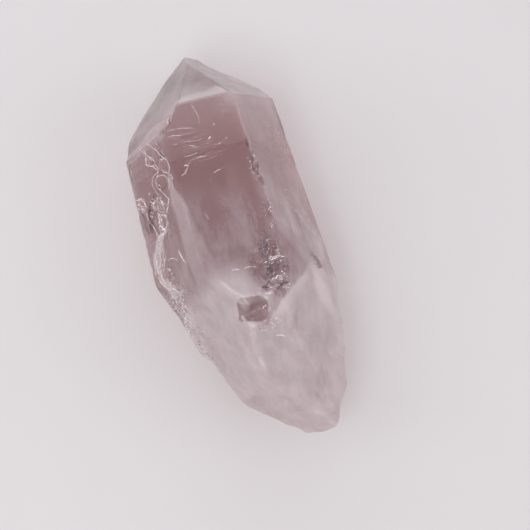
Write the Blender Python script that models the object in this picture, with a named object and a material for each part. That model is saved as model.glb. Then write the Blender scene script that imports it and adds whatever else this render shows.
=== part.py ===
"""Quartz crystal: one natural point lying on its lowest prism face.

Lengths below are millimetres and angles are degrees, in the crystal's own frame: Y runs along the long axis
towards the tip, Z is up and X is to the right, all measured from the long axis. A surface is named by where it
looks: "around" turns from straight up towards +X, and "lean" tips it towards the tip, or towards the root when
it is negative. The finished mesh is in metres and is set down with its lowest face on Z = 0.
"""

import math

import bmesh
import bpy
from mathutils import Matrix, Vector, noise

# Driving dimensions: around, lean, and reach from the middle of the axis.
METRES = 0.001
BLOCK = 130.0
PRISM_FACES = {
    "top": (-1.0, 2.5, 14.9),
    "upper right": (61.0, 2.0, 14.1),
    "lower right": (120.0, 1.5, 15.1),
    "resting": (180.0, 0.0, 14.8),
    "lower left": (-119.5, 5.0, 16.1),
    "upper left": (-59.5, 0.0, 14.5),
}
TIP_FACES = {
    "tip top": (2.0, 37.5, 26.5),
    "tip upper right": (57.5, 41.5, 26.5),
    "tip upper left": (-59.0, 39.5, 24.4),
    "tip under": (180.0, 38.5, 23.5),
    "tip lower right": (120.0, 39.0, 29.7),
    "tip lower left": (-120.5, 40.5, 28.8),
}

# The root is broken. Each side of it is a pair of breaks that meet in a rim: which side it is on, its lean,
# where the rim passes (X, Y, Z), and how far the upper and the lower break turn from the vertical.
ROOT_RIMS = {
    "left flank": (-1, -17.5, (-16.7, -9.0, -1.0), 24.0, 14.0),
    "left heel": (-1, -21.0, (-10.4, -26.5, -2.0), 30.0, 20.0),
    "left corner": (-1, -45.0, (-6.6, -34.0, -3.0), 34.0, 22.0),
    "left end": (-1, -53.0, (-1.6, -38.5, -3.5), 42.0, 24.0),
    "end": (-1, -71.0, (3.9, -41.6, -4.0), 50.0, 30.0),
    "right flank": (1, -10.5, (15.5, -25.5, -2.0), 22.0, 18.0),
    "right corner": (1, -30.0, (13.4, -36.5, -3.5), 30.0, 24.0),
    "right toe": (1, -42.0, (10.1, -41.3, -4.0), 36.0, 28.0),
}
# Breaks that slope the root down from the top face and up from the resting face, and the worn edge beside the
# top face, which widens towards the root: around, lean, a point on it.
SLOPES = {
    "worn edge": (-30.0, -1.0, (-8.4, 12.0, 14.3)),
    "left slope": (-24.0, -21.0, (-5.5, -19.0, 12.2)),
    "right slope": (13.0, -25.0, (5.0, -17.5, 13.2)),
    "right shoulder": (46.0, -13.0, (12.4, -13.5, 6.8)),
    "under slope": (180.0, -27.0, (0.0, -27.0, -14.8)),
    "under left": (-142.0, -24.0, (-9.5, -20.0, -9.5)),
    "under right": (138.0, -18.0, (11.5, -19.0, -9.0)),
}

# Relief of the broken root: where it starts and is full along Y, the net that carries it, and its heights.
RELIEF_START = -11.0
RELIEF_FULL = -22.0
NET_STEP = 2.2
NET_MERGE = 0.55
NET_SLIVER = 0.02
RIB_HEIGHT = 0.5
RIB_WIDTH = 3.2
RIB_LENGTH = 10.0
LUMP_HEIGHT = 0.7
LUMP_SIZE = 6.5

# Shell-shaped breaks: the face that each lies on, and a second one if it is on the edge between two; its place
# along Y and across the face; its length along Y, its width, its depth and its turn on the face.
HOLLOWS = (
    ("upper left", None, 14.6, 3.6, 9.5, 5.6, 0.5, 8.0),
    ("upper left", None, 6.6, -2.6, 10.5, 6.4, 1.1, -14.0),
    ("upper left", None, -0.8, -5.6, 9.0, 3.4, 0.8, -6.0),
    ("left flank", None, -9.6, -4.6, 12.0, 7.5, 1.2, 12.0),
    ("left flank", None, -17.2, -5.6, 5.0, 4.6, 0.9, 0.0),
    ("left heel", "left heel under", -23.6, 0.0, 8.0, 6.0, 1.5, 0.0),
    ("top", None, -13.8, 2.6, 15.0, 12.5, 1.1, -25.0),
    ("top", None, -10.8, 5.4, 8.0, 5.6, 2.1, -30.0),
    ("right slope", None, -18.4, -4.0, 6.5, 5.4, 2.0, 25.0),
    ("right flank", "right flank under", -27.2, 0.0, 10.5, 8.0, 1.4, 0.0),
    ("upper right", None, -10.2, 2.6, 4.6, 3.0, 0.8, 50.0),
    ("lower left", "resting", 6.0, 0.0, 13.0, 4.5, 1.4, 6.0),
    ("lower right", "resting", -8.0, 0.0, 11.0, 4.0, 1.2, -5.0),
    ("lower right", None, 9.0, 1.5, 7.0, 5.0, 0.6, 15.0),
)
# Small oval dimples and edge nicks, in the same terms.
DIMPLES = (
    ("upper left", None, 14.6, 5.6, 2.6, 2.9, 0.7, 25.0),
    ("upper left", None, 11.7, 2.7, 3.1, 3.0, 0.8, 20.0),
    ("upper left", None, 17.3, 0.8, 1.9, 2.2, 0.5, 0.0),
    ("upper left", None, 17.8, 3.9, 1.6, 2.4, 0.4, 30.0),
    ("upper left", None, 11.9, 5.9, 1.7, 1.9, 0.4, 0.0),
    ("top", "tip upper left", 25.2, 0.0, 1.6, 1.0, 0.3, 0.0),
    ("top", "tip upper left", 23.2, 0.0, 2.4, 1.3, 0.4, 0.0),
    ("top", "tip upper left", 21.1, 0.0, 1.8, 1.6, 0.5, 0.0),
    ("top", "upper right", 12.4, 0.0, 3.2, 1.5, 0.4, 0.0),
    ("top", "upper right", 9.2, 0.0, 2.6, 2.2, 0.6, 10.0),
    ("top", "upper right", 5.4, 0.0, 3.4, 1.8, 0.5, 0.0),
    ("top", "upper right", 0.9, 0.0, 2.4, 1.6, 0.5, -8.0),
    ("top", "upper right", -3.6, 0.0, 3.0, 1.3, 0.4, 0.0),
    ("lower left", "upper left", 10.4, 0.0, 1.8, 1.2, 0.3, 0.0),
    ("lower left", "upper left", 4.4, 0.0, 2.2, 1.4, 0.4, 0.0),
    ("lower left", "upper left", -1.4, 0.0, 2.0, 1.2, 0.3, 0.0),
    ("lower right", "upper right", 17.0, 0.0, 2.6, 1.2, 0.3, 0.0),
    ("lower left", "resting", 16.0, 0.0, 3.2, 1.6, 0.4, 0.0),
)
# Low growth lines across the top face: place along Y, place across and width across, and their common cut.
GROWTH_LINES = (
    (18.9, -4.4, 6.5),
    (17.7, -3.0, 8.5),
    (16.4, -2.4, 7.0),
    (15.2, -1.6, 8.0),
    (13.4, -0.5, 9.0),
)
GROWTH_LENGTH = 0.8
GROWTH_DEPTH = 0.14

# The ball that cuts a shell-shaped break: how many of the break's depths tall it is, which sets how steep the
# rim is, and how uneven it is.
BALL_RISE = 3.0
BALL_BUMPS = 0.3
BALL_BUMP_SIZE = 0.75
HOLLOW_SPLITS = 4
DIMPLE_SPLITS = 3

# Distances that count as none, for a cut and for a face that stays flat.
CUT_SAME = 1e-5
FLAT_SAME = 0.05

AXES = (Vector((1.0, 0.0, 0.0)), Vector((0.0, 1.0, 0.0)), Vector((0.0, 0.0, 1.0)))
LONG = AXES[1]


def looking(around, lean):
    """The direction in which a surface looks."""
    turn, tip = math.radians(around), math.radians(lean)
    return Vector((math.cos(tip) * math.sin(turn), math.sin(tip), math.cos(tip) * math.cos(turn)))


def surfaces():
    """Every flat surface of the crystal by name: the direction in which it looks and its reach from the axis."""
    found = {}
    for name, (around, lean, reach) in {**PRISM_FACES, **TIP_FACES}.items():
        found[name] = (looking(around, lean), reach)
    for name, (side, lean, point, up, down) in ROOT_RIMS.items():
        for part, turn in ((name, 90.0 - up), (name + " under", 90.0 + down)):
            normal = looking(side * turn, lean)
            found[part] = (normal, normal.dot(Vector(point)))
    for name, (around, lean, point) in SLOPES.items():
        normal = looking(around, lean)
        found[name] = (normal, normal.dot(Vector(point)))
    return found


def cut_to_faces(bm, faces):
    """Cuts a block down to the crystal's flat surfaces."""
    for normal, reach in faces.values():
        everything = bm.verts[:] + bm.edges[:] + bm.faces[:]
        cut = bmesh.ops.bisect_plane(
            bm, geom=everything, dist=CUT_SAME, plane_co=normal * reach, plane_no=normal, clear_outer=True
        )
        rim = [item for item in cut["geom_cut"] if isinstance(item, bmesh.types.BMEdge)]
        if rim:
            bmesh.ops.contextual_create(bm, geom=rim)


def net_root(bm):
    """Cuts the root's surfaces into a net that is fine enough to carry the relief."""
    for axis, direction in enumerate(AXES):
        low = min(v.co[axis] for v in bm.verts)
        high = RELIEF_START if direction is LONG else max(v.co[axis] for v in bm.verts)
        for step in range(1, math.ceil((high - low) / NET_STEP)):
            faces = [f for f in bm.faces if min(v.co.y for v in f.verts) < RELIEF_START - FLAT_SAME]
            edges = {e for f in faces for e in f.edges}
            verts = {v for f in faces for v in f.verts}
            place = direction * (low + step * NET_STEP)
            bmesh.ops.bisect_plane(
                bm, geom=[*verts, *edges, *faces], dist=CUT_SAME, plane_co=place, plane_no=direction
            )
    broken = [v for v in bm.verts if v.co.y < RELIEF_START - NET_STEP]
    bmesh.ops.remove_doubles(bm, verts=broken, dist=NET_MERGE)
    bmesh.ops.triangulate(bm, faces=bm.faces[:])
    bmesh.ops.dissolve_degenerate(bm, dist=NET_SLIVER, edges=bm.edges[:])


def raise_relief(bm, resting_reach):
    """Moves the root's surface in and out in long ribs and low lumps, and leaves the resting face flat."""
    bm.normal_update()
    moves = {}
    for v in bm.verts:
        if v.co.z < FLAT_SAME - resting_reach:
            continue
        share = (RELIEF_START - v.co.y) / (RELIEF_START - RELIEF_FULL)
        share = max(0.0, min(1.0, share))
        rib = noise.noise(Vector((v.co.x / RIB_WIDTH, v.co.y / RIB_LENGTH, v.co.z / RIB_WIDTH)))
        lump = noise.noise(v.co / LUMP_SIZE)
        moves[v] = v.normal * (share * (RIB_HEIGHT * (0.5 - 2.0 * abs(rib)) + LUMP_HEIGHT * lump))
    for v, move in moves.items():
        v.co += move


def place_on(faces, first, second, along, across):
    """The point on a face, or on the edge between two, and the direction that it looks out in there."""
    normal, reach = faces[first]
    if second is None:
        out = normal
        side, side_reach = LONG.cross(normal).normalized(), across
    else:
        side, side_reach = faces[second]
        out = (normal + side).normalized()
    point = Matrix((normal, side, LONG)).inverted() @ Vector((reach, side_reach, along))
    return point, out


def uneven(point, number):
    """How far out a point of the numbered ball goes, as a share of its round radius."""
    return 1.0 + BALL_BUMPS * noise.noise(point / BALL_BUMP_SIZE + Vector((number, 0.0, 0.0)) * math.pi)


def shell_cutter(name, number, faces, row, splits):
    """One cutter for a shell-shaped break: a flattened uneven ball, sunk into the surface by the depth."""
    first, second, along, across, length, width, depth, turn = row
    point, out = place_on(faces, first, second, along, across)
    rise = BALL_RISE * depth
    swell = 1.0 / math.sqrt(1.0 - (1.0 - 1.0 / BALL_RISE) ** 2)
    side = LONG.cross(out).normalized()
    bm = bmesh.new()
    bmesh.ops.create_icosphere(bm, subdivisions=splits, radius=1.0)
    for v in bm.verts:
        v.co *= uneven(v.co, number)
    bmesh.ops.scale(bm, vec=(0.5 * width * swell, 0.5 * length * swell, rise), verts=bm.verts)
    bmesh.ops.rotate(bm, cent=(0, 0, 0), matrix=Matrix.Rotation(math.radians(turn), 3, "Z"), verts=bm.verts)
    bmesh.ops.rotate(
        bm, cent=(0, 0, 0), matrix=Matrix((side, out.cross(side), out)).transposed(), verts=bm.verts
    )
    bmesh.ops.translate(bm, vec=point + out * (rise - depth), verts=bm.verts)
    mesh = bpy.data.meshes.new(name)
    bm.to_mesh(mesh)
    bm.free()
    cutter = bpy.data.objects.new(name, mesh)
    cutter.hide_render = True
    cutter.display_type = "WIRE"
    return cutter


def cutters(faces):
    """Every cutter: the hollows, the small dimples and the growth lines."""
    lines = [
        ("top", None, along, across, GROWTH_LENGTH, width, GROWTH_DEPTH, 0.0)
        for along, across, width in GROWTH_LINES
    ]
    made = []
    for name, rows, splits in (
        ("hollow", HOLLOWS, HOLLOW_SPLITS),
        ("dimple", DIMPLES, DIMPLE_SPLITS),
        ("growth_line", lines, DIMPLE_SPLITS),
    ):
        for row in rows:
            made.append(shell_cutter(f"{name}_{len(made)}", len(made), faces, row, splits))
    return made


def quartz():
    """Colourless quartz."""
    material = bpy.data.materials.new("quartz")
    material.use_nodes = True
    shader = material.node_tree.nodes["Principled BSDF"]
    shader.inputs["Base Color"].default_value = (0.93, 0.90, 0.91, 1.0)
    shader.inputs["Roughness"].default_value = 0.06
    shader.inputs["Metallic"].default_value = 0.0
    shader.inputs["IOR"].default_value = 1.544
    shader.inputs["Transmission Weight"].default_value = 1.0
    return material


def rough_crystal(faces):
    """The crystal before its shell-shaped breaks, in millimetres about its axis."""
    bm = bmesh.new()
    bmesh.ops.create_cube(bm, size=BLOCK)
    cut_to_faces(bm, faces)
    net_root(bm)
    raise_relief(bm, PRISM_FACES["resting"][2])
    bmesh.ops.recalc_face_normals(bm, faces=bm.faces[:])
    mesh = bpy.data.meshes.new("quartz_crystal")
    bm.to_mesh(mesh)
    bm.free()
    mesh.materials.append(quartz())
    return bpy.data.objects.new("quartz_crystal", mesh)


def set_down(crystal, breaks):
    """Turns millimetres into metres and stands the box's lowest middle point on the origin."""
    bpy.context.view_layer.update()
    seen = crystal.evaluated_get(bpy.context.evaluated_depsgraph_get())
    places = [v.co for v in seen.data.vertices]
    low = Vector([min(p[i] for p in places) for i in range(3)])
    high = Vector([max(p[i] for p in places) for i in range(3)])
    foot = Vector(((low.x + high.x) / 2, (low.y + high.y) / 2, low.z))
    for thing in [crystal, *breaks]:
        thing.data.transform(Matrix.Scale(METRES, 4) @ Matrix.Translation(-foot))


def main():
    for old in list(bpy.data.objects):
        bpy.data.objects.remove(old, do_unlink=True)

    faces = surfaces()
    crystal = rough_crystal(faces)
    bpy.context.scene.collection.objects.link(crystal)
    breaks = bpy.data.collections.new("breaks")
    bpy.context.scene.collection.children.link(breaks)
    for cutter in cutters(faces):
        breaks.objects.link(cutter)

    cut = crystal.modifiers.new("shell breaks", "BOOLEAN")
    cut.operation = "DIFFERENCE"
    cut.solver = "EXACT"
    cut.operand_type = "COLLECTION"
    cut.collection = breaks
    set_down(crystal, breaks.objects)


main()
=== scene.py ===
# Quartz crystal: the looks of one natural quartz point that lies on its lowest prism face.
import functools
import math
import random
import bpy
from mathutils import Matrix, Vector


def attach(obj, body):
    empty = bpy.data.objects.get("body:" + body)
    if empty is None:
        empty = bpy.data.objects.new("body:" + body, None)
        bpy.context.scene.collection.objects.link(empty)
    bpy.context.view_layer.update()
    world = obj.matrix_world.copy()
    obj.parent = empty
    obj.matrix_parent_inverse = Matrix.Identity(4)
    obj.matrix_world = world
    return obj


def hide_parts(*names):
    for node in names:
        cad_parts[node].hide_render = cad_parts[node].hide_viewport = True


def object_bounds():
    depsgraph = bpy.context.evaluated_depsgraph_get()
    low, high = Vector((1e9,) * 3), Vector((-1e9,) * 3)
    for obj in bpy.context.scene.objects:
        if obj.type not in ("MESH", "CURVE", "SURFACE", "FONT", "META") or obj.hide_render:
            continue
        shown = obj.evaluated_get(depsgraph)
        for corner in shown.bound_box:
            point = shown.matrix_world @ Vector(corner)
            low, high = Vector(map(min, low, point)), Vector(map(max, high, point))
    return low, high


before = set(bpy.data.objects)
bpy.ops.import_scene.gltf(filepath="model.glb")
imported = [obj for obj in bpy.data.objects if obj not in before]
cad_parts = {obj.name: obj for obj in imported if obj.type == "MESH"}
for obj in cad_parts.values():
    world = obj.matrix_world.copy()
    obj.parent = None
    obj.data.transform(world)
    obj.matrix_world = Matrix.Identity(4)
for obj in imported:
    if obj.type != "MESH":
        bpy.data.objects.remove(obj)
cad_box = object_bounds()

from types import SimpleNamespace

import bmesh
import bpy
from mathutils import Matrix, Vector, kdtree, noise
from mathutils.bvhtree import BVHTree

# The crystal's own frame, as in the part's source: millimetres, +Y along the long axis to the tip, +Z up,
# and the middle of the axis at zero. The tip's place in it ties it to the frame that was loaded.
METRES = 0.001
TIP = Vector((0.826, 38.731, 0.780))
NODE = "quartz_crystal"
X, Y = Vector((1, 0, 0)), Vector((0, 1, 0))
tip_vertex = max(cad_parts[NODE].data.vertices, key=lambda v: v.co.y)
AXIS = tip_vertex.co / METRES - TIP
TO_METRES = Matrix.Scale(METRES, 4) @ Matrix.Translation(AXIS)
TO_CRYSTAL = TO_METRES.inverted()
LOWEST, HIGHEST = [Vector(v) / METRES - AXIS for v in cad_box]

# Where the flat surfaces look, in degrees around from straight up towards +X and leaning to the tip, and how
# far each is from the middle of the axis, or a point that it passes through.
SURFACES = {
    "top": (-1.0, 2.5, 14.9),
    "upper right": (61.0, 2.0, 14.1),
    "lower right": (120.0, 1.5, 15.1),
    "resting": (180.0, 0.0, 14.8),
    "lower left": (-119.5, 5.0, 16.1),
    "upper left": (-59.5, 0.0, 14.5),
    "tip top": (2.0, 37.5, 26.5),
    "tip upper right": (57.5, 41.5, 26.5),
    "tip upper left": (-59.0, 39.5, 24.4),
    "tip lower right": (120.0, 39.0, 29.7),
    "tip lower left": (-120.5, 40.5, 28.8),
    "left slope": (-24.0, -21.0, (-5.5, -19.0, 12.2)),
    "right slope": (13.0, -25.0, (5.0, -17.5, 13.2)),
    "right shoulder": (46.0, -13.0, (12.4, -13.5, 6.8)),
}
PRISM = ("top", "upper right", "lower right", "resting", "lower left", "upper left")

# The fine mesh, in millimetres: how near points are one and how near a cut a point is on it, the step and the
# shift of the cuts, and the longest edges in the open, near the rims and where the quartz is crushed.
SAME_POINT = 0.001
ON_CUT = 0.0001
SLICE = 1.1
SLICE_SHIFT = 0.37
LONG_EDGE = 0.5
RIM_EDGE = 0.3
RIM_NEAR = 0.4
CRUSHED_EDGES = (0.3, 0.25)

# Angles up to which neighbouring faces are one flat face, past which an edge is a crease of the crystal, and
# past which it is shaded sharp.
FLAT = math.radians(0.4)
CREASE = math.radians(20.0)
SHARP = math.radians(42.0)

# How far the pale rim, partly frost and partly painted rim light, reaches from an outer crease, and how far
# above the resting face the relief starts.
RIM_WIDTH = 0.3
RELIEF_START = 0.05

# Where the root starts along the crystal, and how often it is smoothed all over and again on its upper side.
ROOT_START = -11.0
ROOT_ROUNDS = 3
UPPER_ROOT_ROUNDS = 14

# The low growth lines of the top face: their middle across and along it, and their reach across it, along it
# and away from it.
GROWTH_MIDDLE = (-1.5, 16.2)
GROWTH_REACH = (6.6, 4.2, 0.3)


def looking(around, lean):
    """The direction of a surface that is turned around the long axis and leans towards the tip."""
    turn, tip = math.radians(around), math.radians(lean)
    return Vector((math.cos(tip) * math.sin(turn), math.sin(tip), math.cos(tip) * math.cos(turn)))


def surface(name):
    """A surface's direction and its reach from the middle of the axis."""
    around, lean, through = SURFACES[name]
    normal = looking(around, lean)
    return normal, normal.dot(Vector(through)) if isinstance(through, tuple) else through


def sideways(normal):
    """The level way across a surface, square to the long axis."""
    return Y.cross(normal).normalized()


def on_surface(name, across, along):
    """A point on a surface."""
    normal, reach = surface(name)
    side = sideways(normal)
    up = side.cross(Y)
    height = (reach - normal.y * along - normal.dot(side) * across) / normal.dot(up)
    return side * across + Y * along + up * height


def corner(*names):
    """The point where three surfaces meet."""
    normals, reaches = zip(*[surface(name) for name in names])
    return Matrix(normals).inverted() @ Vector(reaches)


TOP_NORMAL, TOP_REACH = surface("top")

# Points worn round: the place, the reach of the wear and how often it is smoothed.
ROUNDED = (
    (TIP, 2.2, 5),
    (corner("upper left", "lower left", "tip upper left"), 3.0, 6),
    (corner("upper right", "lower right", "tip upper right"), 3.4, 8),
)


def smoothstep(low, high, value):
    """A smooth step from 0 at low to 1 at high."""
    share = max(0.0, min(1.0, (value - low) / (high - low)))
    return share * share * (3.0 - 2.0 * share)


# Shader maths


class Sock:
    """A number socket that takes part in Python expressions."""

    def __init__(self, nodes, socket):
        self.nodes = nodes
        self.socket = socket

    def math(self, operation, *others):
        """A Math node on this number and the others."""
        values = [self, *others]
        return Sock(self.nodes, self.nodes.add("Math", {"operation": operation}, dict(enumerate(values))))

    def __add__(self, other):
        return self.math("ADD", other)

    def __radd__(self, other):
        return self.math("ADD", other)

    def __sub__(self, other):
        return self.math("SUBTRACT", other)

    def __rsub__(self, other):
        return (self * -1.0) + other

    def __mul__(self, other):
        return self.math("MULTIPLY", other)

    def __rmul__(self, other):
        return self.math("MULTIPLY", other)

    def __truediv__(self, other):
        return self.math("DIVIDE", other)

    def __pow__(self, exponent):
        return self.math("POWER", exponent)

    def size(self):
        return self.math("ABSOLUTE")

    def at_least(self, other):
        return self.math("MAXIMUM", other)

    def at_most(self, other):
        return self.math("MINIMUM", other)

    def ramp(self, low, high, out_low=0.0, out_high=1.0):
        """A smooth step from out_low at low to out_high at high."""
        inputs = {"Value": self, "From Min": low, "From Max": high, "To Min": out_low, "To Max": out_high}
        return Sock(self.nodes, self.nodes.add("MapRange", {"interpolation_type": "SMOOTHSTEP"}, inputs))


class Nodes:
    """The node tree of one material, with one method that adds any node."""

    def __init__(self, name):
        self.material = bpy.data.materials.new(name)
        self.material.use_nodes = True
        self.tree = self.material.node_tree
        self.tree.nodes.clear()
        self.place = self.add("TexCoord", {}, {}, "Object")

    def add(self, kind, settings, inputs, output=0):
        """A node by its kind, its settings and what its inputs get, as the output that is asked for."""
        node = self.tree.nodes.new("ShaderNode" + kind)
        for name, value in settings.items():
            setattr(node, name, value)
        for name, value in inputs.items():
            if isinstance(value, Sock):
                value = value.socket
            if isinstance(value, bpy.types.NodeSocket):
                self.tree.links.new(value, node.inputs[name])
            else:
                node.inputs[name].default_value = value
        return node.outputs[output]

    def noise(self, scale, detail=2.0, roughness=0.5, stretch=(1, 1, 1), shift=(0, 0, 0)):
        """Noise about 0.5, with scale in cycles per millimetre."""
        per_metre = [scale / METRES * s for s in stretch]
        place = self.add("Mapping", {}, {"Vector": self.place, "Location": shift, "Scale": per_metre})
        inputs = {"Vector": place, "Scale": 1.0, "Detail": detail, "Roughness": roughness}
        return Sock(self, self.add("TexNoise", {}, inputs))

    def axes(self):
        """The place in the crystal's own frame, in millimetres, as three numbers."""
        place = self.add("Mapping", {}, {"Vector": self.place, "Location": -AXIS, "Scale": [1 / METRES] * 3})
        return [Sock(self, self.add("SeparateXYZ", {}, {"Vector": place}, i)) for i in range(3)]

    def attribute(self, name):
        """What the mesh keeps at each point under a name."""
        return Sock(self, self.add("Attribute", {"attribute_name": name}, {}, "Fac"))

    def bump(self, strength, distance, height):
        """A bumpy normal, with the distance in millimetres."""
        return self.add("Bump", {}, {"Strength": strength, "Distance": distance * METRES, "Height": height})

    def blend(self, share, low, high):
        """A colour between two, by a share."""
        return self.add("Mix", {"data_type": "RGBA"}, {"Factor": share, 6: low, 7: high}, 2)

    def finish(self, surface, volume=None):
        """The material, with its surface and its volume."""
        node = self.tree.nodes.new("ShaderNodeOutputMaterial")
        self.tree.links.new(surface, node.inputs["Surface"])
        if volume is not None:
            self.tree.links.new(volume, node.inputs["Volume"])
        return self.material


def above(axes, name):
    """How far a point is above a named surface, in millimetres."""
    normal, reach = surface(name)
    return axes[0] * normal.x + axes[1] * normal.y + axes[2] * normal.z - reach


def oval(axes, centre, reach, turn, power=2.0):
    """How far a point is from the middle of an upright oval shaft, in shares of its reach. A higher power
    gives it straighter sides."""
    cosine, sine = math.cos(math.radians(turn)), math.sin(math.radians(turn))
    x, y = axes[0] - centre[0], axes[1] - centre[1]
    first = ((x * cosine + y * sine) / reach[0]).size()
    second = ((y * cosine - x * sine) / reach[1]).size()
    return (first**power + second**power) ** (1.0 / power)


def crease(axes, first, second):
    """How near a point is to the crease of two surfaces, in millimetres: zero on it and less further off."""
    return above(axes, first).at_most(above(axes, second))


def bowed(y, turn, bend):
    """Where a bowed line is along X, by the point where it turns back and how much it bends."""
    along = y - turn[1]
    return along * along * bend + turn[0]


# The quartz's finish: its IOR, the colour and the density per metre of what it absorbs, the tint of its
# shadow, the two tones of its milk and the tone of its palest marks, some of which are painted rim light and
# painted glints.
QUARTZ_IOR = 1.544
QUARTZ_TINT = (0.73, 0.555, 0.565, 1.0)
TINT_DENSITY = 66.0
SHADOW_TINT = (0.72, 0.69, 0.695, 1.0)
MILKY_TONES = ((0.55, 0.472, 0.482, 1.0), (0.70, 0.622, 0.632, 1.0))
PALE_TONE = (0.86, 0.78, 0.76, 1.0)

# How milky the root is, how pale the band is, partly milk and partly painted reflection, and the most that
# any place is.
ROOT_MILK, BAND_MILK_AND_REFLECTION, MOST_MILK = 0.8, 0.55, 0.93

# Marks of the quartz seen from above. An oval has its middle, its reach and its turn in degrees.
FRACTURE = ((4.2, -11.2), (4.6, 5.8), 10.0)
WINDOW = ((-1.4, -17.8), (3.0, 2.4), -12.0)
RIDGE = ((13.4, -16.8), (1.7, 7.0), 11.0)
# A painted light spot: pale haze laid over a dark refraction, not a mark of the quartz.
PAINTED_LIGHT_SPOT = ((13.8, -10.6), (2.4, 1.8), 0.0)

# The straight edge of the milky root: a point on it and the way that it faces.
ROOT_EDGE = ((7.0, -16.1), (0.65, -0.76))

# Bowed lines: the point where each turns back and how much it bends.
SILK_LINE = ((-16.6, -2.8), 0.07)
BAND_LINE = ((-10.9, -3.0), 0.005)

# How hazy each flat surface is: partly the quartz's own haze and partly painted reflection of the soft light
# on it.
FACE_HAZE_AND_REFLECTION = {"tip upper left": 0.34, "tip upper right": 0.42, "tip top": 0.32, "upper right": 0.24}

# Pale haze along the creases between two surfaces, partly the quartz's own haze and partly painted highlight
# of the lit edges: its width and its share.
CREASE_HAZE_AND_HIGHLIGHT = (
    ("upper left", "lower left", 0.6, 0.90),
    ("upper left", "lower left", 2.6, 0.38),
    ("upper right", "lower right", 0.6, 0.90),
    ("upper right", "lower right", 2.2, 0.20),
    ("tip upper left", "tip lower left", 0.5, 0.75),
    ("tip upper left", "tip lower left", 3.6, 0.55),
    ("tip upper right", "tip lower right", 0.5, 0.75),
    ("tip upper right", "tip lower right", 3.0, 0.60),
    ("tip upper right", "upper right", 4.5, 0.42),
    ("upper left", "tip upper left", 1.4, 0.36),
    ("top", "upper right", 0.9, 0.42),
    ("tip top", "tip upper right", 0.2, 0.30),
)


def quartz_grain(n):
    """The noises that the marks of the quartz share, from wide clouds to fine grit."""
    return SimpleNamespace(
        cloud=n.noise(0.11, 3.0, 0.55),
        wisp=n.noise(0.30, 4.0, 0.6, (1.0, 0.3, 1.0)),
        rib=n.noise(0.55, 3.0, 0.55, (1.0, 0.14, 1.0)),
        grit=n.noise(2.2, 3.0, 0.65),
        patches=n.noise(0.22, 3.0, 0.5, (1.0, 0.5, 1.0), (5, 2, 1)),
    )


def fracture_and_window(axes, grain):
    """How far a point is from the fracture and from the clear window, in shares of their reach."""
    rough = (grain.wisp - 0.5) * 0.6 + (grain.grit - 0.5) * 0.25
    low_down = axes[2].ramp(2.0, 8.0, 0.42, 1.0)
    fracture = oval(axes, *FRACTURE) * low_down + (grain.cloud - 0.5) * 0.8 + rough * 0.6
    window = oval(axes, *WINDOW, 4.0) * low_down + rough + (grain.cloud - 0.5) * 0.5
    return fracture, window


def past_root_edge(axes, grain):
    """How far a point is past the straight edge of the milky root, in millimetres."""
    point, facing = ROOT_EDGE
    straight = (axes[0] - point[0]) * facing[0] + (axes[1] - point[1]) * facing[1]
    return straight + (grain.wisp - 0.5) * 2.0


def milky_root(axes, grain, fracture, window, past_edge):
    """How milky the root is: less so in the fracture, the window, beside its edge and in patches."""
    x, y, z = axes
    start = y + (z - 14.0) * -0.25 + (grain.cloud - 0.5) * 8.0 + (grain.wisp - 0.5) * 8.0
    root = start.ramp(-6.0, -15.0) * fracture.ramp(0.7, 1.15, 0.06, 1.0) * window.ramp(0.86, 1.04, 0.10, 1.0)
    beside = past_edge.ramp(0.4, -0.8) * x.ramp(-4.0, 1.5)
    return root * beside.ramp(0.0, 1.0, 1.0, 0.62) * grain.patches.ramp(0.28, 0.5, 0.76, 1.0)


def silk_bundle(axes, grain):
    """The bundle of silky fibres along the left flank."""
    x, y, z = axes
    off_line = (x - bowed(y, *SILK_LINE)).size() + (grain.rib - 0.5) * 1.6
    ends = y.ramp(4.6, 3.4) * y.ramp(-10.5, -8.8) * z.ramp(-1.0, 0.6)
    return off_line.ramp(1.5, 0.5) * ends * grain.grit.ramp(0.3, 0.6, 0.6, 1.0)


def pale_band(axes, grain):
    """The pale band along the worn edge, which widens towards the root: partly milky quartz and partly
    painted reflection.
    """
    x, y, z = axes
    wide = y.ramp(13.4, 4.0, 0.2, 1.5)
    off_line = ((x - (bowed(y, *BAND_LINE) + wide) + (grain.wisp - 0.5) * 1.4) / wide).size()
    return off_line.ramp(1.35, 0.55) * y.ramp(13.6, 12.0) * z.ramp(7.0, 9.0)


def clear_haze(axes, grain):
    """The faint haze of the clear quartz, thicker towards the root with painted shade towards the tip, and
    denser as painted reflection on some faces, at a painted light spot and as painted highlight along the
    creases.
    """
    x, y, z = axes
    # Thicker towards the root: partly the quartz's own haze and partly painted shade, which leaves the top
    # face darker towards the tip.
    haze = y.ramp(15.0, -5.0, 0.03, 0.30)
    haze = haze * grain.cloud.ramp(0.3, 0.7, 0.7, 1.3) * grain.wisp.ramp(0.35, 0.65, 0.6, 1.4)
    faces = [above(axes, name).ramp(-0.5, -0.05, 0.0, share) for name, share in FACE_HAZE_AND_REFLECTION.items()]
    haze = haze + functools.reduce(Sock.at_least, faces) * grain.cloud.ramp(0.3, 0.7, 0.75, 1.25)
    # Pale haze painted over a dark refraction, as painted light.
    painted_light_spot = oval(axes, *PAINTED_LIGHT_SPOT).ramp(1.2, 0.5, 0.0, 0.5)
    flank = z.ramp(6.0, 2.0) * x.ramp(-9.0, -12.0) * y.ramp(-5.0, -9.0)
    haze = haze.at_least(painted_light_spot).at_least(flank * grain.grit.ramp(0.35, 0.6, 0.3, 0.7))
    for first, second, width, share in CREASE_HAZE_AND_HIGHLIGHT:
        haze = haze.at_least(crease(axes, first, second).ramp(-width, -0.04, 0.0, share))
    return haze


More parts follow.
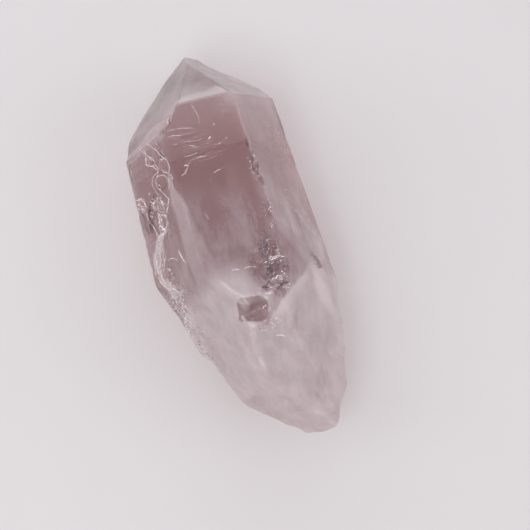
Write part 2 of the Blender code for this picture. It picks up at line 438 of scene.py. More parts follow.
def pale_marks(n, axes, grain, window, past_edge):
    """The palest marks: rims that are partly painted rim light, the window's lip, the root's edge and ridge,
    the silk, flecks that are partly painted glints, and puffs.
    """
    x, y, _ = axes
    # The pale rim along the outer creases is partly frost and partly painted rim light.
    frost_and_rim_light = n.attribute("rim").ramp(0.1, 0.9) * grain.grit.ramp(0.3, 0.6, 0.4, 0.8)
    lip = window.ramp(0.95, 1.04) * window.ramp(1.22, 1.06) * grain.wisp.ramp(0.45, 0.6) * 0.4
    edge = past_edge.ramp(-0.6, 0.2) * past_edge.ramp(1.8, 0.4)
    edge = edge * x.ramp(13.0, 11.0) * y.ramp(-21.5, -19.5) * 0.45
    silk = silk_bundle(axes, grain) * 0.75
    ridge = (oval(axes, *RIDGE) + (grain.wisp - 0.5) * 0.8).ramp(1.1, 0.2) * 0.8
    # Pale flecks of the crushed quartz, partly its own crushed white and partly painted glints.
    flecks = n.attribute("crushed").ramp(0.2, 0.8) * grain.grit.ramp(0.54, 0.64)
    flecks = flecks * x.ramp(-4.0, -8.0, 0.12, 0.6)
    puffs = n.noise(0.55, 5.0, 0.7, shift=(2, 7, 4)).ramp(0.56, 0.72) * y.ramp(-14.0, -19.0) * 0.4
    return functools.reduce(Sock.at_least, (frost_and_rim_light, lip, edge, silk, ridge, flecks, puffs))


def clear_quartz(n, y):
    """See-through quartz, with faint scratches that end short of the tip."""
    scratches = n.noise(1.4, 4.0, 0.6, (1.0, 6.0, 1.0)) * y.ramp(25.0, 16.0)
    return n.add(
        "BsdfPrincipled",
        {},
        {
            "Base Color": (1.0, 1.0, 1.0, 1.0),
            "Roughness": 0.03,
            "IOR": QUARTZ_IOR,
            "Transmission Weight": 1.0,
            "Normal": n.bump(0.06, 0.1, scratches),
        },
    )


def milky_quartz(n, y, grain, pale):
    """Milky quartz, softly ribbed and mottled, and lightest at the pale marks."""
    height = (grain.grit * 0.3 + grain.cloud * 2.0 + grain.rib * 0.5) * y.ramp(6.0, -6.0)
    mottle = n.noise(0.33, 4.0, 0.6, (1.0, 0.7, 1.0), (1, 9, 3))
    tone = grain.rib.ramp(0.3, 0.7) * 0.2 + grain.patches.ramp(0.35, 0.65) * 0.4
    tone = tone + mottle.ramp(0.36, 0.62) * 0.4
    return n.add(
        "BsdfPrincipled",
        {"subsurface_method": "RANDOM_WALK"},
        {
            "Base Color": n.blend(pale, n.blend(tone, *MILKY_TONES), PALE_TONE),
            "Roughness": 0.34,
            "IOR": QUARTZ_IOR,
            "Transmission Weight": 0.25,
            "Subsurface Weight": 0.6,
            "Subsurface Radius": (1.0, 0.85, 0.85),
            "Subsurface Scale": 3.0 * METRES,
            "Normal": n.bump(0.15, 0.3, height),
        },
    )


def quartz_material():
    """Clear towards the tip with a faint haze, and milky at the root and along the worn edge; its hazes and
    pale marks also carry painted highlights, reflections and shade.
    """
    n = Nodes("quartz")
    axes = n.axes()
    grain = quartz_grain(n)
    fracture, window = fracture_and_window(axes, grain)
    past_edge = past_root_edge(axes, grain)
    root = milky_root(axes, grain, fracture, window, past_edge)
    pale = pale_marks(n, axes, grain, window, past_edge)
    # The milk share also carries painted light: reflections on some faces, highlights on creases and rims,
    # glints in flecks and shade towards the tip.
    milk = (clear_haze(axes, grain) + root * ROOT_MILK).at_least(pale_band(axes, grain) * BAND_MILK_AND_REFLECTION)
    milk = milk.at_least(pale).at_most(MOST_MILK)
    clear, milky = clear_quartz(n, axes[1]), milky_quartz(n, axes[1], grain, pale)
    seen = n.add("MixShader", {}, {0: milk, 1: clear, 2: milky})
    shadow = n.add("LightPath", {}, {}, "Is Shadow Ray")
    passing = n.add("BsdfTransparent", {}, {"Color": SHADOW_TINT})
    look = n.add("MixShader", {}, {0: shadow, 1: seen, 2: passing})
    return n.finish(look, n.add("VolumeAbsorption", {}, {"Color": QUARTZ_TINT, "Density": TINT_DENSITY}))


def facet_material(name, tone_scale, tones, roughness, cover_noise, cover_ramp):
    """A glossy facet between two tones, which its cover lets fade out here and there."""
    n = Nodes(name)
    scale, shift = cover_noise
    inputs = {
        "Base Color": n.blend(n.noise(tone_scale, 3.0, 0.6).ramp(0.3, 0.7), *tones),
        "Roughness": roughness,
        "IOR": QUARTZ_IOR,
        "Alpha": n.noise(scale, 3.0, 0.6, shift=shift).ramp(*cover_ramp),
    }
    return n.finish(n.add("BsdfPrincipled", {}, inputs))


def glint_material():
    """Broken rims, cracks and shards coloured near white: real breaks, with their brightness a painted glint.
    """
    tones = ((0.84, 0.76, 0.77, 1.0), (0.98, 0.94, 0.95, 1.0))
    return facet_material("crack_glint", 0.9, tones, 0.22, (1.1, (3, 1, 2)), (0.34, 0.5, 0.2, 1.0))


def shade_material():
    """Facets painted dark as painted shade, for the dark reflections where broken quartz leads the light
    away.
    """
    tones = ((0.19, 0.12, 0.14, 1.0), (0.34, 0.24, 0.26, 1.0))
    return facet_material("painted_shade_facet", 0.8, tones, 0.12, (0.9, (4, 2, 8)), (0.36, 0.6, 0.35, 0.8))


def floor_material():
    """A matt pale floor, very softly clouded."""
    n = Nodes("floor")
    tone = n.noise(0.02, 3.0)
    colour = n.blend(tone, (0.66, 0.635, 0.63, 1), (0.70, 0.675, 0.67, 1))
    inputs = {"Base Color": colour, "Roughness": 0.7, "Specular IOR Level": 0.2}
    return n.finish(n.add("BsdfPrincipled", {}, inputs))


# Geometry


def slice_faces(bm, faces, direction, step):
    """Cuts the faces by planes across a direction, a step apart."""
    reach = [v.co.dot(direction) for f in faces for v in f.verts]
    # Each counts once, in an order that is the same in every run.
    edges = dict.fromkeys(e for f in faces for e in f.edges)
    verts = dict.fromkeys(v for f in faces for v in f.verts)
    geom = [*faces, *edges, *verts]
    for i in range(math.ceil(min(reach) / step), math.floor(max(reach) / step) + 1):
        place = direction * (step * (i + SLICE_SHIFT))
        cut = bmesh.ops.bisect_plane(bm, geom=geom, dist=ON_CUT, plane_co=place, plane_no=direction)
        geom = cut["geom"]


def split_long(bm, longest, wanted):
    """Halves the edges that are longer than the longest and are wanted by the place of their middle."""
    edges = [
        e for e in bm.edges if e.calc_length() > longest and wanted((e.verts[0].co + e.verts[1].co) / 2)
    ]
    bmesh.ops.subdivide_edges(bm, edges=edges, cuts=1, use_grid_fill=True)
    bmesh.ops.triangulate(bm, faces=bm.faces[:], quad_method="BEAUTY", ngon_method="BEAUTY")


def in_growth(place):
    """Whether a point is among the low growth lines of the top face."""
    inside = all(abs(place[i] - GROWTH_MIDDLE[i]) < GROWTH_REACH[i] for i in (0, 1))
    return inside and abs(TOP_NORMAL.dot(place) - TOP_REACH) < GROWTH_REACH[2]


def find_creases(bm):
    """The creases ahead of the root, apart from the low growth lines."""
    bm.normal_update()
    ahead = [e for e in bm.edges if max(v.co.y for v in e.verts) > ROOT_START]
    return [e for e in ahead if e.calc_face_angle(0.0) > CREASE and not in_growth(e.verts[0].co)]


def ends_tree(edges):
    """The places of the edges' ends, to ask how near one is."""
    ends = dict.fromkeys(v for e in edges for v in e.verts)
    tree = kdtree.KDTree(len(ends))
    for i, v in enumerate(ends):
        tree.insert(v.co, i)
    tree.balance()
    return tree, ends


# Where the quartz is crushed to small shards: the middle and the reach of each patch, the size of its shards
# along X, Y and Z, and their height.
CRUSHED = (
    (Vector((4.4, -11.0, 14.0)), Vector((4.2, 5.6, 6.0)), Vector((2.0, 1.3, 1.6)), 0.90),
    (Vector((-13.2, 7.6, 6.2)), Vector((3.2, 3.8, 5.0)), Vector((0.7, 1.2, 0.7)), 0.16),
    (Vector((7.1, 8.6, 14.6)), Vector((1.2, 2.4, 2.0)), Vector((0.5, 0.8, 0.5)), 0.12),
    (Vector((-14.4, -11.5, 3.0)), Vector((3.6, 7.0, 6.0)), Vector((0.6, 0.8, 0.6)), 0.24),
    (Vector((-11.8, -20.5, 3.0)), Vector((2.4, 5.0, 5.0)), Vector((0.7, 0.7, 0.7)), 0.25),
)

# Smaller shards on the large ones, by their share of the size and of the height.
SMALL_SHARDS = 0.45
SMALL_SHARE = 0.10

# How crushed a face may be before it is shaded flat.
BROKEN = 0.35

# The slopes of the shards come from noise vectors, which differ from run to run until their seed is set.
SLOPE_SEED = 7
noise.seed_set(SLOPE_SEED)


def crushed_share(place, centre, reach):
    """How crushed a point is by one patch, from 0 to 1."""
    off = place - centre
    if off.length > max(reach) * 1.5:
        return 0.0
    distance = Vector([off[i] / reach[i] for i in range(3)]).length
    return smoothstep(1.0, 0.75, distance + 0.35 * noise.noise(place * 0.6))


def shard_height(place, size):
    """Tilted flat shards of one size, each with its own height and slope, from -1 to 0."""
    scaled = Vector([place[i] / size[i] for i in range(3)])
    cell = noise.voronoi(scaled)[1][0]
    slope = noise.noise_vector(cell * 7.3)
    return max(-1.0, min(0.0, -0.5 + noise.noise(cell * 5.1) + (scaled - cell).dot(slope)))


# Where the real outline swells a little beyond the solid's flat faces: the place, the reach and the move.
SWELLS = (
    (Vector((3.4, 38.0)), 3.0, Vector((0.35, 0.45))),
    (Vector((-4.6, 36.0)), 5.0, Vector((-0.20, 0.15))),
    (Vector((-13.6, 25.0)), 4.5, Vector((-0.45, 0.20))),
    (Vector((-12.6, -20.5)), 3.4, Vector((-0.40, -0.35))),
    (Vector((8.2, -41.0)), 3.6, Vector((0.60, -0.40))),
    (Vector((15.0, -27.5)), 6.0, Vector((0.30, 0.0))),
)


def swell(place):
    """The sideways move that the swells give a point."""
    move = Vector((0.0, 0.0, 0.0))
    for middle, reach, push in SWELLS:
        share = smoothstep(reach, 0.0, (place.xy - middle).length)
        move += share * push.to_3d()
    return move


# Shallow dishes with a steep rim in the upper left face: the middle across and along it, the reach and the
# depth.
DIMPLES = (
    ((5.2, 14.8), (1.6, 1.8), 0.16),
    ((2.6, 11.9), (1.7, 2.3), 0.17),
    ((0.4, 17.7), (0.8, 1.0), 0.10),
    ((6.4, 16.9), (0.7, 0.9), 0.12),
    ((-1.6, 13.4), (0.9, 1.2), 0.09),
)


def dimple(place):
    """How deep a dimple is at a point of the upper left face."""
    normal, reach = surface("upper left")
    if abs(normal.dot(place) - reach) > 1.0:
        return 0.0
    across = sideways(normal).dot(place)
    deep = 0.0
    for middle, (wide, long), depth in DIMPLES:
        far = math.hypot((across - middle[0]) / wide, (place.y - middle[1]) / long)
        deep = max(deep, depth * smoothstep(1.1, 0.75, far + 0.25 * noise.noise(place * 0.9)))
    return deep


# Relief of the surface, in millimetres: how uneven it is, how deep the fine growth lines, the root's ribs and
# the root's roughness are, and the middle, the length and the depth of the ripples in the left flank.
UNEVEN = 0.02
LINE_DEPTH = 0.035
RIB_DEPTH = 0.07
ROOT_ROUGHNESS = 0.04
RIPPLE_MIDDLE = Vector((-9.0, -3.0, 4.0))
RIPPLE_LENGTH = 1.35
RIPPLE_DEPTH = 0.06


def growth_line(place, normal):
    """How deep a fine growth line is at a point, on the prism's upward faces."""
    lines = noise.noise(Vector((place.x * 0.12, place.y * 1.3, place.z * 0.12)))
    on_prism = smoothstep(-8.0, 2.0, place.y) * smoothstep(25.0, 23.0, place.y)
    return LINE_DEPTH * smoothstep(0.1, 0.5, lines) * on_prism * smoothstep(0.0, 0.4, normal.z)


def root_rib(place):
    """How deep the ribs and the roughness of the root are at a point."""
    rib = abs(noise.noise(Vector((place.x / 2.6, place.y / 9.0, place.z / 2.6))))
    depth = RIB_DEPTH * (1.0 - 2.0 * rib) + ROOT_ROUGHNESS * noise.noise(place * 1.2)
    return smoothstep(-9.0, -16.0, place.y) * depth


def flank_ripple(place):
    """How deep a ripple of the left flank is at a point."""
    on_flank = smoothstep(-2.0, -5.0, place.y) * smoothstep(-18.0, -14.0, place.y)
    on_flank *= smoothstep(-9.0, -12.0, place.x)
    far = (place - RIPPLE_MIDDLE).length
    wave = math.sin(far * math.tau / RIPPLE_LENGTH + 2.0 * noise.noise(place / 2.0))
    return RIPPLE_DEPTH * on_flank * (0.5 + 0.5 * wave)


def relief(place, normal):
    """How far the surface is moved out along its normal, and how crushed it is there."""
    move = UNEVEN * noise.noise(place / 7.0) - dimple(place)
    move -= growth_line(place, normal)
    move -= root_rib(place)
    move -= flank_ripple(place)
    crushed = 0.0
    for centre, reach, size, height in CRUSHED:
        share = crushed_share(place, centre, reach)
        if share > 0.0:
            move += share * height * shard_height(place, size)
            move += share * height * SMALL_SHARE * shard_height(place + X, size * SMALL_SHARDS)
            crushed = max(crushed, share)
    return move, crushed


def fine_crystal():
    """The solid's own shape, cut finely enough to carry its surface relief, in the crystal's frame."""
    bm = bmesh.new()
    bm.from_mesh(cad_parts[NODE].data)
    bmesh.ops.remove_doubles(bm, verts=bm.verts[:], dist=SAME_POINT * METRES)
    bm.transform(TO_CRYSTAL)
    bmesh.ops.dissolve_limit(bm, angle_limit=FLAT, verts=bm.verts[:], edges=bm.edges[:])
    slice_faces(bm, bm.faces[:], Y, SLICE)
    turns = [surface(name)[0] for name in PRISM]
    bm.normal_update()
    sectors = [[] for _ in turns]
    for f in bm.faces:
        sectors[max(range(len(turns)), key=lambda i: turns[i].dot(f.normal))].append(f)
    for faces, turn in zip(sectors, turns):
        slice_faces(bm, faces, sideways(turn), SLICE)
    bmesh.ops.triangulate(bm, faces=bm.faces[:], quad_method="BEAUTY", ngon_method="BEAUTY")
    split_long(bm, LONG_EDGE, lambda place: True)
    tree, _ = ends_tree(find_creases(bm))
    split_long(bm, RIM_EDGE, lambda place: tree.find(place)[2] < RIM_NEAR)
    for edge in CRUSHED_EDGES:
        split_long(bm, edge, lambda place: max(crushed_share(place, *patch[:2]) for patch in CRUSHED) > 0.0)
    split_long(bm, RIM_EDGE, lambda place: dimple(place) > 0.0)
    return bm


def smooth(bm, verts, rounds):
    """Wears the points round, a little in each round."""
    for _ in range(rounds):
        bmesh.ops.smooth_vert(bm, verts=verts, factor=0.5, use_axis_x=True, use_axis_y=True, use_axis_z=True)


def on_upper_root(place):
    """Whether a point is on the upper side of the root, which starts further back on the right."""
    return place.z > 4.5 and place.y + 0.6 * max(0.0, place.x) < -6.5


def shape_relief(bm):
    """Rounds the creases, moves the relief in and keeps what each point needs to know for its finish."""
    rim_layer = bm.verts.layers.float.new("rim")
    crushed_layer = bm.verts.layers.float.new("crushed")
    creases = find_creases(bm)
    _, ends = ends_tree(creases)
    outer_tree, _ = ends_tree([e for e in creases if min(f.normal.z for f in e.link_faces) < 0.0])
    for v in bm.verts:
        v[rim_layer] = smoothstep(RIM_WIDTH, 0.0, outer_tree.find(v.co)[2])
    free = [v for v in bm.verts if v.co.z > LOWEST.z + RELIEF_START]
    smooth(bm, [v for v in free if v.co.y < ROOT_START], ROOT_ROUNDS)
    smooth(bm, [v for v in free if on_upper_root(v.co)], UPPER_ROOT_ROUNDS)
    smooth(bm, [v for v in free if v in ends], 1)
    for middle, reach, rounds in ROUNDED:
        smooth(bm, [v for v in free if (v.co - middle).length < reach], rounds)
    bm.normal_update()
    moves = [(v, v.normal.copy(), relief(v.co, v.normal)) for v in free]
    for v, normal, (move, crushed) in moves:
        v.co += normal * move + swell(v.co)
        v[crushed_layer] = crushed
    for f in bm.faces:
        f.smooth = min(v[crushed_layer] for v in f.verts) < BROKEN


# Thin bright lines of cracks and broken rims, real breaks drawn near white as painted highlight, on a
# surface: where each starts and ends, across and along the surface, how far it bows to the left on its way,
# and how wide it is.
STREAKS = (
    # Growth steps near the tip
    ("top", (-7.1, 20.8), (-1.5, 19.7), 0.3, 0.10),
    ("top", (-7.5, 19.7), (-4.6, 19.2), 0.1, 0.14),
    ("top", (-6.8, 17.8), (-5.9, 17.7), 0.0, 0.18),
    ("top", (-4.6, 17.6), (-3.2, 17.5), 0.1, 0.14),
    ("top", (-3.8, 16.8), (-2.6, 16.3), 0.0, 0.14),
    ("top", (0.1, 16.8), (0.9, 17.2), 0.1, 0.20),
    ("top", (-5.3, 14.9), (-2.7, 15.0), -0.2, 0.12),
    ("top", (-3.2, 13.9), (-1.0, 13.7), 0.1, 0.12),
    ("top", (-5.8, 13.1), (-5.0, 12.8), 0.1, 0.24),
    ("top", (-4.9, 12.7), (-5.9, 11.2), -0.3, 0.16),
    ("top", (-6.0, 11.6), (-6.9, 11.2), 0.0, 0.22),
    ("top", (-0.7, 9.9), (0.8, 10.2), 0.2, 0.14),
    ("top", (-4.8, 2.7), (-4.2, 1.2), 0.0, 0.10),
    # Ghost of an earlier tip
    ("top", (-1.2, 25.0), (-0.6, 20.2), 0.4, 0.08),
    # Loose cracks on the upper left face
    ("upper left", (-3.3, 11.8), (-2.4, 12.1), 0.1, 0.20),
    ("upper left", (-3.6, 10.9), (-2.4, 9.3), 0.0, 0.20),
    ("upper left", (-3.3, 4.8), (-1.9, 3.5), 0.2, 0.50),
    ("upper left", (1.2, -1.1), (2.7, -4.9), 0.0, 0.36),
    ("upper left", (-3.4, -2.1), (0.3, -3.4), 0.6, 0.20),
    ("upper left", (-4.7, -3.1), (-3.3, -4.3), 0.1, 0.24),
    # Glints and broken edges where the top face is crushed
    ("top", (-2.8, -9.8), (-1.4, -9.9), 0.0, 0.40),
    ("top", (-0.6, -10.2), (1.7, -10.0), 0.2, 0.22),
    ("top", (3.6, -10.5), (4.7, -10.2), 0.1, 0.34),
    ("right shoulder", (-6.6, -9.9), (-4.9, -9.2), 0.1, 0.42),
    ("right shoulder", (-7.6, -10.4), (-3.0, -9.6), 0.2, 0.34),
    ("top", (3.8, -13.6), (6.2, -12.7), 0.1, 0.60),
    ("right shoulder", (-5.4, -13.0), (-5.0, -13.9), 0.0, 0.42),
    ("right slope", (-2.6, -14.8), (0.4, -15.2), -0.3, 0.20),
    ("right slope", (-1.7, -16.0), (0.2, -16.2), 0.1, 0.26),
    # Rim of the clear window in the milky root
    ("right slope", (-3.9, -16.0), (-2.2, -15.8), 0.2, 0.20),
    ("right slope", (-2.4, -18.8), (-1.6, -18.0), 0.0, 0.40),
    # Short cracks of the milky root
    ("right slope", (-1.0, -23.8), (0.8, -24.2), 0.2, 0.30),
    ("right slope", (-4.0, -22.4), (-2.4, -22.6), 0.3, 0.14),
    # Broken rims along the left flank
    ("upper left", (-8.8, -3.2), (-6.2, -7.6), -0.5, 0.26),
    ("upper left", (-7.6, -3.6), (-4.6, -8.2), -0.4, 0.24),
    ("upper left", (-6.6, -6.4), (-2.6, -9.2), -0.3, 0.22),
    ("upper left", (-8.0, -6.8), (-6.2, -9.8), -0.2, 0.20),
    # Curved crack on the upper right face
    ("upper right", (-1.4, 1.4), (4.7, -3.7), 0.5, 0.12),
    ("upper right", (4.7, -3.7), (8.6, -6.0), 0.2, 0.14),
)

# Cracks that turn, on the upper left face, drawn near white as painted highlight: their points across and
# along it, and their width.
CRACKS = (
    # Dimples
    (((-2.2, 21.6), (-0.1, 19.5), (-0.6, 17.4), (0.8, 16.5)), 0.14),
    (((-0.4, 20.8), (0.6, 18.5), (1.9, 17.9)), 0.12),
    (((1.4, 21.0), (2.7, 20.1), (4.4, 17.5), (6.1, 15.7), (7.3, 14.2)), 0.15),
    (((0.0, 19.0), (1.9, 17.9), (2.0, 16.3), (0.0, 16.7), (-1.0, 17.7), (0.0, 19.0)), 0.13),
    (((2.0, 16.3), (2.4, 15.1), (0.2, 14.3), (-0.9, 13.4), (-0.3, 11.6), (0.1, 9.6), (2.5, 7.4)), 0.12),
    (((3.9, 16.6), (3.0, 15.5), (3.6, 14.1), (5.4, 13.1), (6.9, 13.5)), 0.15),
    (((6.9, 13.5), (7.0, 15.1), (5.7, 16.0), (3.9, 16.6)), 0.15),
    (((1.6, 14.0), (0.8, 13.4), (0.7, 11.8), (1.8, 10.5), (3.6, 8.5)), 0.15),
    (((1.6, 14.0), (3.3, 13.6), (4.5, 12.3), (4.6, 11.3), (4.0, 10.2)), 0.13),
    (((0.8, 16.5), (2.0, 15.2), (1.6, 14.0)), 0.16),
    # Sides of the crumbly wedge, and the lip left of it
    (((3.6, 8.5), (2.2, 7.3), (-0.3, 5.2), (-1.9, 3.9)), 0.28),
    (((-6.0, 9.4), (-6.0, 6.8), (-5.7, 4.4)), 0.22),
    (((-8.2, 12.6), (-6.8, 12.4), (-5.8, 11.4), (-5.2, 10.0)), 0.22),
    (((-5.4, 4.4), (-4.8, 2.3)), 0.46),
)
CRACK_OVERLAP = 0.12

# Fine grooves of the whitish patch, drawn near white as painted highlight: the surface, the start and the end
# of the outer and of the inner one, how many there are and how wide they are.
GROOVES = (("upper left", (-8.2, 0.8), (-9.6, -3.4)), ("upper left", (-3.6, 1.8), (-7.0, -3.2)), 5, 0.26)

# Small bright shards, real splinters whose near-white colour is a painted glint: the surface, the middle and
# the reach of their patch, the way that they point, how many and how large. A turn of 90 lies along the
# crystal, and one of 0 across it.
GLITTER = (
    ("upper left", (-1.4, 8.2), (2.8, 2.4), 100, 120, 0.40),
    ("upper left", (-3.2, 5.4), (1.4, 2.4), 100, 110, 0.42),
    ("upper left", (-6.8, 11.2), (1.6, 1.6), 60, 50, 0.40),
    ("upper left", (-4.6, -5.0), (1.8, 2.4), 60, 30, 0.34),
    ("upper left", (-5.6, -10.5), (2.6, 4.6), 60, 330, 0.32),
    ("upper left", (-6.8, -18.0), (2.4, 5.0), 60, 280, 0.32),
    ("upper left", (2.2, 15.6), (4.0, 3.6), 60, 30, 0.26),
    ("top", (5.0, -9.4), (2.2, 3.0), 20, 36, 0.44),
    ("right shoulder", (-5.0, -13.8), (2.2, 2.0), 10, 60, 0.44),
    ("right slope", (-1.0, -21.6), (2.2, 1.4), 10, 50, 0.34),
    ("top", (7.0, 8.4), (0.8, 2.2), 60, 30, 0.28),
    ("top", (7.2, -0.6), (0.8, 4.6), 80, 20, 0.28),
    ("upper right", (3.2, -9.8), (2.6, 0.7), 20, 22, 0.34),
    ("upper right", (4.6, 15.6), (1.6, 3.6), 30, 30, 0.22),
    ("top", (-0.5, 14.0), (7.0, 9.0), 10, 16, 0.20),
)

# Dark facets, painted shade for the dark reflections in the broken quartz, in the same terms.
SHADES = (
    ("top", (4.8, -7.4), (1.5, 2.0), 60, 22, 1.3),
    ("top", (5.4, -11.2), (1.9, 1.5), 50, 24, 1.5),
    ("top", (3.4, -14.5), (3.4, 0.8), 5, 22, 1.2),
    ("upper right", (3.4, -9.6), (2.4, 0.4), 10, 6, 0.5),
    ("upper left", (-1.0, 10.0), (2.8, 1.2), 60, 5, 0.6),
    ("left slope", (2.6, -21.6), (1.8, 1.2), 20, 9, 0.36),
    ("upper left", (-7.0, -20.0), (1.2, 2.8), 60, 16, 0.5),
    ("upper left", (-5.4, -11.0), (2.2, 4.0), 60, 26, 0.4),
    ("top", (7.0, 8.6), (0.6, 1.6), 60, 4, 0.4),
)

# Single bright specks, painted glints in a near-white colour, on each surface, across and along it, and their
# size.
SPECKS = (
    ("top", ((4.5, 21.6), (2.1, 19.5), (0.4, 17.1), (3.6, 16.1), (-1.8, 8.8), (-5.7, 13.0), (-6.7, 11.4))),
    ("top", ((6.5, 10.9), (7.4, -0.2), (8.0, 1.1), (0.6, 2.6), (-2.8, -9.8), (1.6, -10.0))),
    ("tip upper left", ((6.1, 23.7), (3.8, 24.8))),
    ("upper right", ((-0.2, 4.5), (-1.4, 1.6))),
    ("right shoulder", ((-0.1, -13.9), (-1.9, -22.2))),
)
SPECK = 0.46

# How the shards are strewn: the seed of their places, how far they turn from the way that they point and how
# far they tilt.
SHARD_SEED = 7
SHARD_SPREAD = math.radians(28.0)
SHARD_TILT = 0.7

# How thick shards are for their length and streaks for their width, how far a streak stands out of the
# surface, and how many sides and steps it has.
SHARD_FLAT = 0.22
STREAK_FLAT = 0.45
STREAK_LIFT = 0.05
STREAK_SIDES, STREAK_STEPS = 6, 18

# How far above a flat surface the search for the real one starts.
SEARCH_FROM = 3.0


def settle(tree, point, normal, depth):
    """The point under the real surface that lies below a point on the flat one."""
    hit = tree.ray_cast(point + normal * SEARCH_FROM, -normal)[0]
    return (point if hit is None else hit) - normal * depth


def streak(bm, tree, name, start, end, bow, width):
    """One thin line: a drawn-out ball, bent along its way and laid under the surface."""
    normal, _ = surface(name)
    first, last = on_surface(name, *start), on_surface(name, *end)
    ahead = (last - first).normalized()
    side = normal.cross(ahead)
    ball = bmesh.ops.create_uvsphere(bm, u_segments=STREAK_SIDES, v_segments=STREAK_STEPS, radius=1.0)
    for v in ball["verts"]:
        # It wanders and changes its width on its way from the first point to the last.
        share = (v.co.z + 1.0) / 2.0
        place = Vector((share * 14.0, *start))
        wander = 0.9 * width * noise.noise(place)
        spread = 0.55 + 0.9 * abs(noise.noise(place + Y))
        middle = first.lerp(last, share) + side * (bow * 4.0 * share * (1.0 - share) + wander)
        middle = settle(tree, middle, normal, width * STREAK_FLAT / 2.0 - STREAK_LIFT)
        v.co = middle + side * (v.co.x * spread * width / 2.0) + normal * (v.co.y * width * STREAK_FLAT / 2.0)


def streaks(tree):
    """All the thin lines drawn near white as painted highlight on real cracks and rims, with the fine grooves
    of the whitish patch beside the crushed one.
    """
    bm = bmesh.new()
    for row in STREAKS:
        streak(bm, tree, *row)
    for points, width in CRACKS:
        for start, end in zip(points[:-1], points[1:]):
            start, end = Vector(start), Vector(end)
            past = (end - start) * CRACK_OVERLAP
            streak(bm, tree, "upper left", start - past, end + past, 0.04, width)
    (name, *outer), (_, *inner), count, width = GROOVES
    for i in range(count):
        share = i / (count - 1)
        start, end = [Vector(a).lerp(Vector(b), share) for a, b in zip(outer, inner)]
        streak(bm, tree, name, start, end, 0.3, width)
    return bm


def shard(bm, tree, draw, name, place, points, long):
    """One tilted splinter at a place across and along a surface, by the way that it points and its length."""
    normal, _ = surface(name)
    middle = settle(tree, on_surface(name, *place), normal, long * draw.uniform(-0.08, 0.12))
    made = bmesh.ops.create_icosphere(bm, subdivisions=1, radius=long / 2.0)["verts"]
    bmesh.ops.scale(bm, vec=(1.0, draw.uniform(0.2, 0.6), SHARD_FLAT), verts=made)
    spin = Matrix.Rotation(math.radians(points) + draw.gauss(0.0, SHARD_SPREAD), 3, "Z")
    roll = Matrix.Rotation(draw.uniform(-SHARD_TILT, SHARD_TILT), 3, "X")
    lean = Matrix.Rotation(draw.uniform(-SHARD_TILT, SHARD_TILT), 3, "Y")
    bmesh.ops.rotate(bm, cent=(0, 0, 0), matrix=spin @ roll @ lean, verts=made)
    lay = Matrix((sideways(normal), Y, normal)).transposed()
    bmesh.ops.transform(bm, matrix=Matrix.Translation(middle) @ lay.to_4x4(), verts=made)


def scatter(tree, rows, specks=()):
    """Small tilted shards in patches, and single ones."""
    draw = random.Random(SHARD_SEED)
    bm = bmesh.new()
    for name, middle, reach, points, count, size in rows:
        for _ in range(count):
            turn, far = draw.uniform(0.0, math.tau), math.sqrt(draw.random())
            across = middle[0] + reach[0] * far * math.cos(turn)
            along = middle[1] + reach[1] * far * math.sin(turn)
            shard(bm, tree, draw, name, (across, along), points, size * draw.uniform(0.5, 1.5))
    for name, places in specks:
        for place in places:
            shard(bm, tree, draw, name, place, 20.0, SPECK)
    return bm


def place_piece(bm, name, material):
    """Turns a finished mesh into a piece of the object, in metres and within the solid's box."""
    for v in bm.verts:
        v.co = [max(LOWEST[i], min(HIGHEST[i], v.co[i])) for i in range(3)]
    bm.transform(TO_METRES)
    mesh = bpy.data.meshes.new(name)
    bm.to_mesh(mesh)
    bm.free()
    mesh.materials.append(material)
    piece = bpy.data.objects.new(name, mesh)
    bpy.context.scene.collection.objects.link(piece)
    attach(piece, "root")
    return piece


def smooth_shade(piece):
    """Shades a piece smooth up to its sharp edges."""
    piece.data.shade_smooth()
    piece.data.set_sharp_from_angle(angle=SHARP)


def crystal():
    """All the pieces of the crystal."""
    bm = fine_crystal()
    shape_relief(bm)
    tree = BVHTree.FromBMesh(bm)
    body = place_piece(bm, "quartz_body", quartz_material())
    body.data.set_sharp_from_angle(angle=SHARP)
    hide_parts(NODE)
    glint = glint_material()
    # The crack lines are real breaks, coloured near white as painted highlight.
    smooth_shade(place_piece(streaks(tree), "crack_lines", glint))
    # The bright shards and specks are coloured near white as painted glints.
    place_piece(scatter(tree, GLITTER, SPECKS), "painted_glint_shards", glint)
    # The dark facets are painted shade, laid where the broken quartz reflects darkness.
    place_piece(scatter(tree, SHADES), "painted_shade_facets", shade_material())


# Stage, in metres

FLOOR_REACH = 2.0
FLOOR_DROP = 0.00005
STUDIO_COLOUR = (0.88, 0.88, 0.93, 1)
STUDIO_LIGHT = 0.66
LIT_POINT = Vector((0, 0, 0.01))

# The softboxes: the place, the size, the power in watts and the colour.
SOFTBOXES = {
    "key softbox": ((-0.30, -0.30, 0.74), (0.35, 0.35), 2.2, (1.0, 0.98, 0.97)),
    "left softbox": ((-0.62, 0.10, 0.42), (0.5, 0.5), 0.8, (0.97, 0.97, 1.0)),
    "right softbox": ((0.62, -0.25, 0.42), (0.5, 0.5), 1.2, (1.0, 0.97, 0.98)),
    "far softbox": ((0.05, 0.80, 0.12), (0.9, 0.4), 5.6, (0.98, 0.95, 0.98)),
}

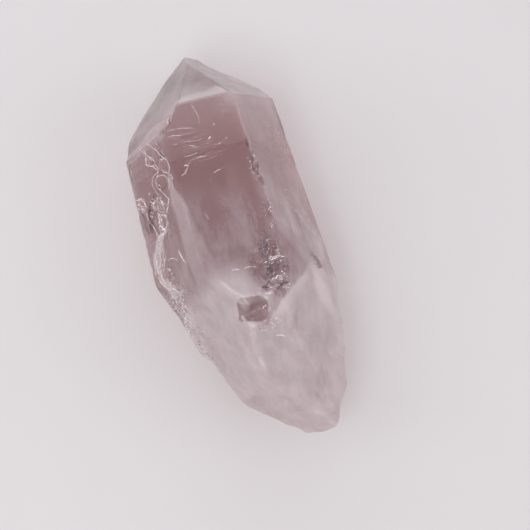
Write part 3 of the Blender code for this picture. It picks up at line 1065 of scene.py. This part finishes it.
# The camera: its turn and its height above the floor in degrees, and in millimetres its distance, the width
# that it takes in there, how far the middle of its view is right of and above the middle of the crystal, and
# the width of its sensor.
AZIMUTH, ELEVATION = -16.7, 77.5
DISTANCE, FIELD = 430.0, 106.0
RIGHT_BY, UP_BY = 6.16, -5.72
SENSOR = 36.0


def softbox(name, place, size, power, colour):
    """A rectangular light that faces the crystal."""
    data = bpy.data.lights.new(name, "AREA")
    data.shape = "RECTANGLE"
    data.size, data.size_y = size
    data.energy = power
    data.color = colour
    lamp = bpy.data.objects.new(name, data)
    lamp.location = place
    lamp.rotation_euler = (LIT_POINT - Vector(place)).to_track_quat("-Z", "Y").to_euler()
    bpy.context.scene.collection.objects.link(lamp)


def stage():
    """The floor and the light."""
    bm = bmesh.new()
    bmesh.ops.create_grid(bm, x_segments=8, y_segments=8, size=FLOOR_REACH)
    bmesh.ops.translate(bm, vec=(0, 0, -FLOOR_DROP), verts=bm.verts)
    mesh = bpy.data.meshes.new("floor")
    bm.to_mesh(mesh)
    bm.free()
    mesh.materials.append(floor_material())
    floor = bpy.data.objects.new("floor", mesh)
    bpy.context.scene.collection.objects.link(floor)

    world = bpy.data.worlds.new("studio")
    world.use_nodes = True
    background = world.node_tree.nodes["Background"]
    background.inputs["Color"].default_value = STUDIO_COLOUR
    background.inputs["Strength"].default_value = STUDIO_LIGHT
    bpy.context.scene.world = world
    for name, row in SOFTBOXES.items():
        softbox(name, *row)


def camera():
    """The camera, which looks down on the crystal from near its root."""
    azimuth, elevation = math.radians(AZIMUTH), math.radians(ELEVATION)
    level = math.cos(elevation)
    ahead = Vector((-math.sin(azimuth) * level, math.cos(azimuth) * level, -math.sin(elevation)))
    right = Vector((math.cos(azimuth), math.sin(azimuth), 0))
    up = right.cross(ahead)
    data = bpy.data.cameras.new("camera")
    data.sensor_width = SENSOR
    data.lens = SENSOR * DISTANCE / FIELD
    eye = bpy.data.objects.new("camera", data)
    turn = Matrix((right, up, -ahead)).transposed()
    place = (AXIS - ahead * DISTANCE + right * RIGHT_BY + up * UP_BY) * METRES
    eye.matrix_world = Matrix.Translation(place) @ turn.to_4x4()
    bpy.context.scene.collection.objects.link(eye)
    bpy.context.scene.camera = eye


crystal()
stage()
camera()
bpy.context.scene.view_settings.view_transform = "Standard"
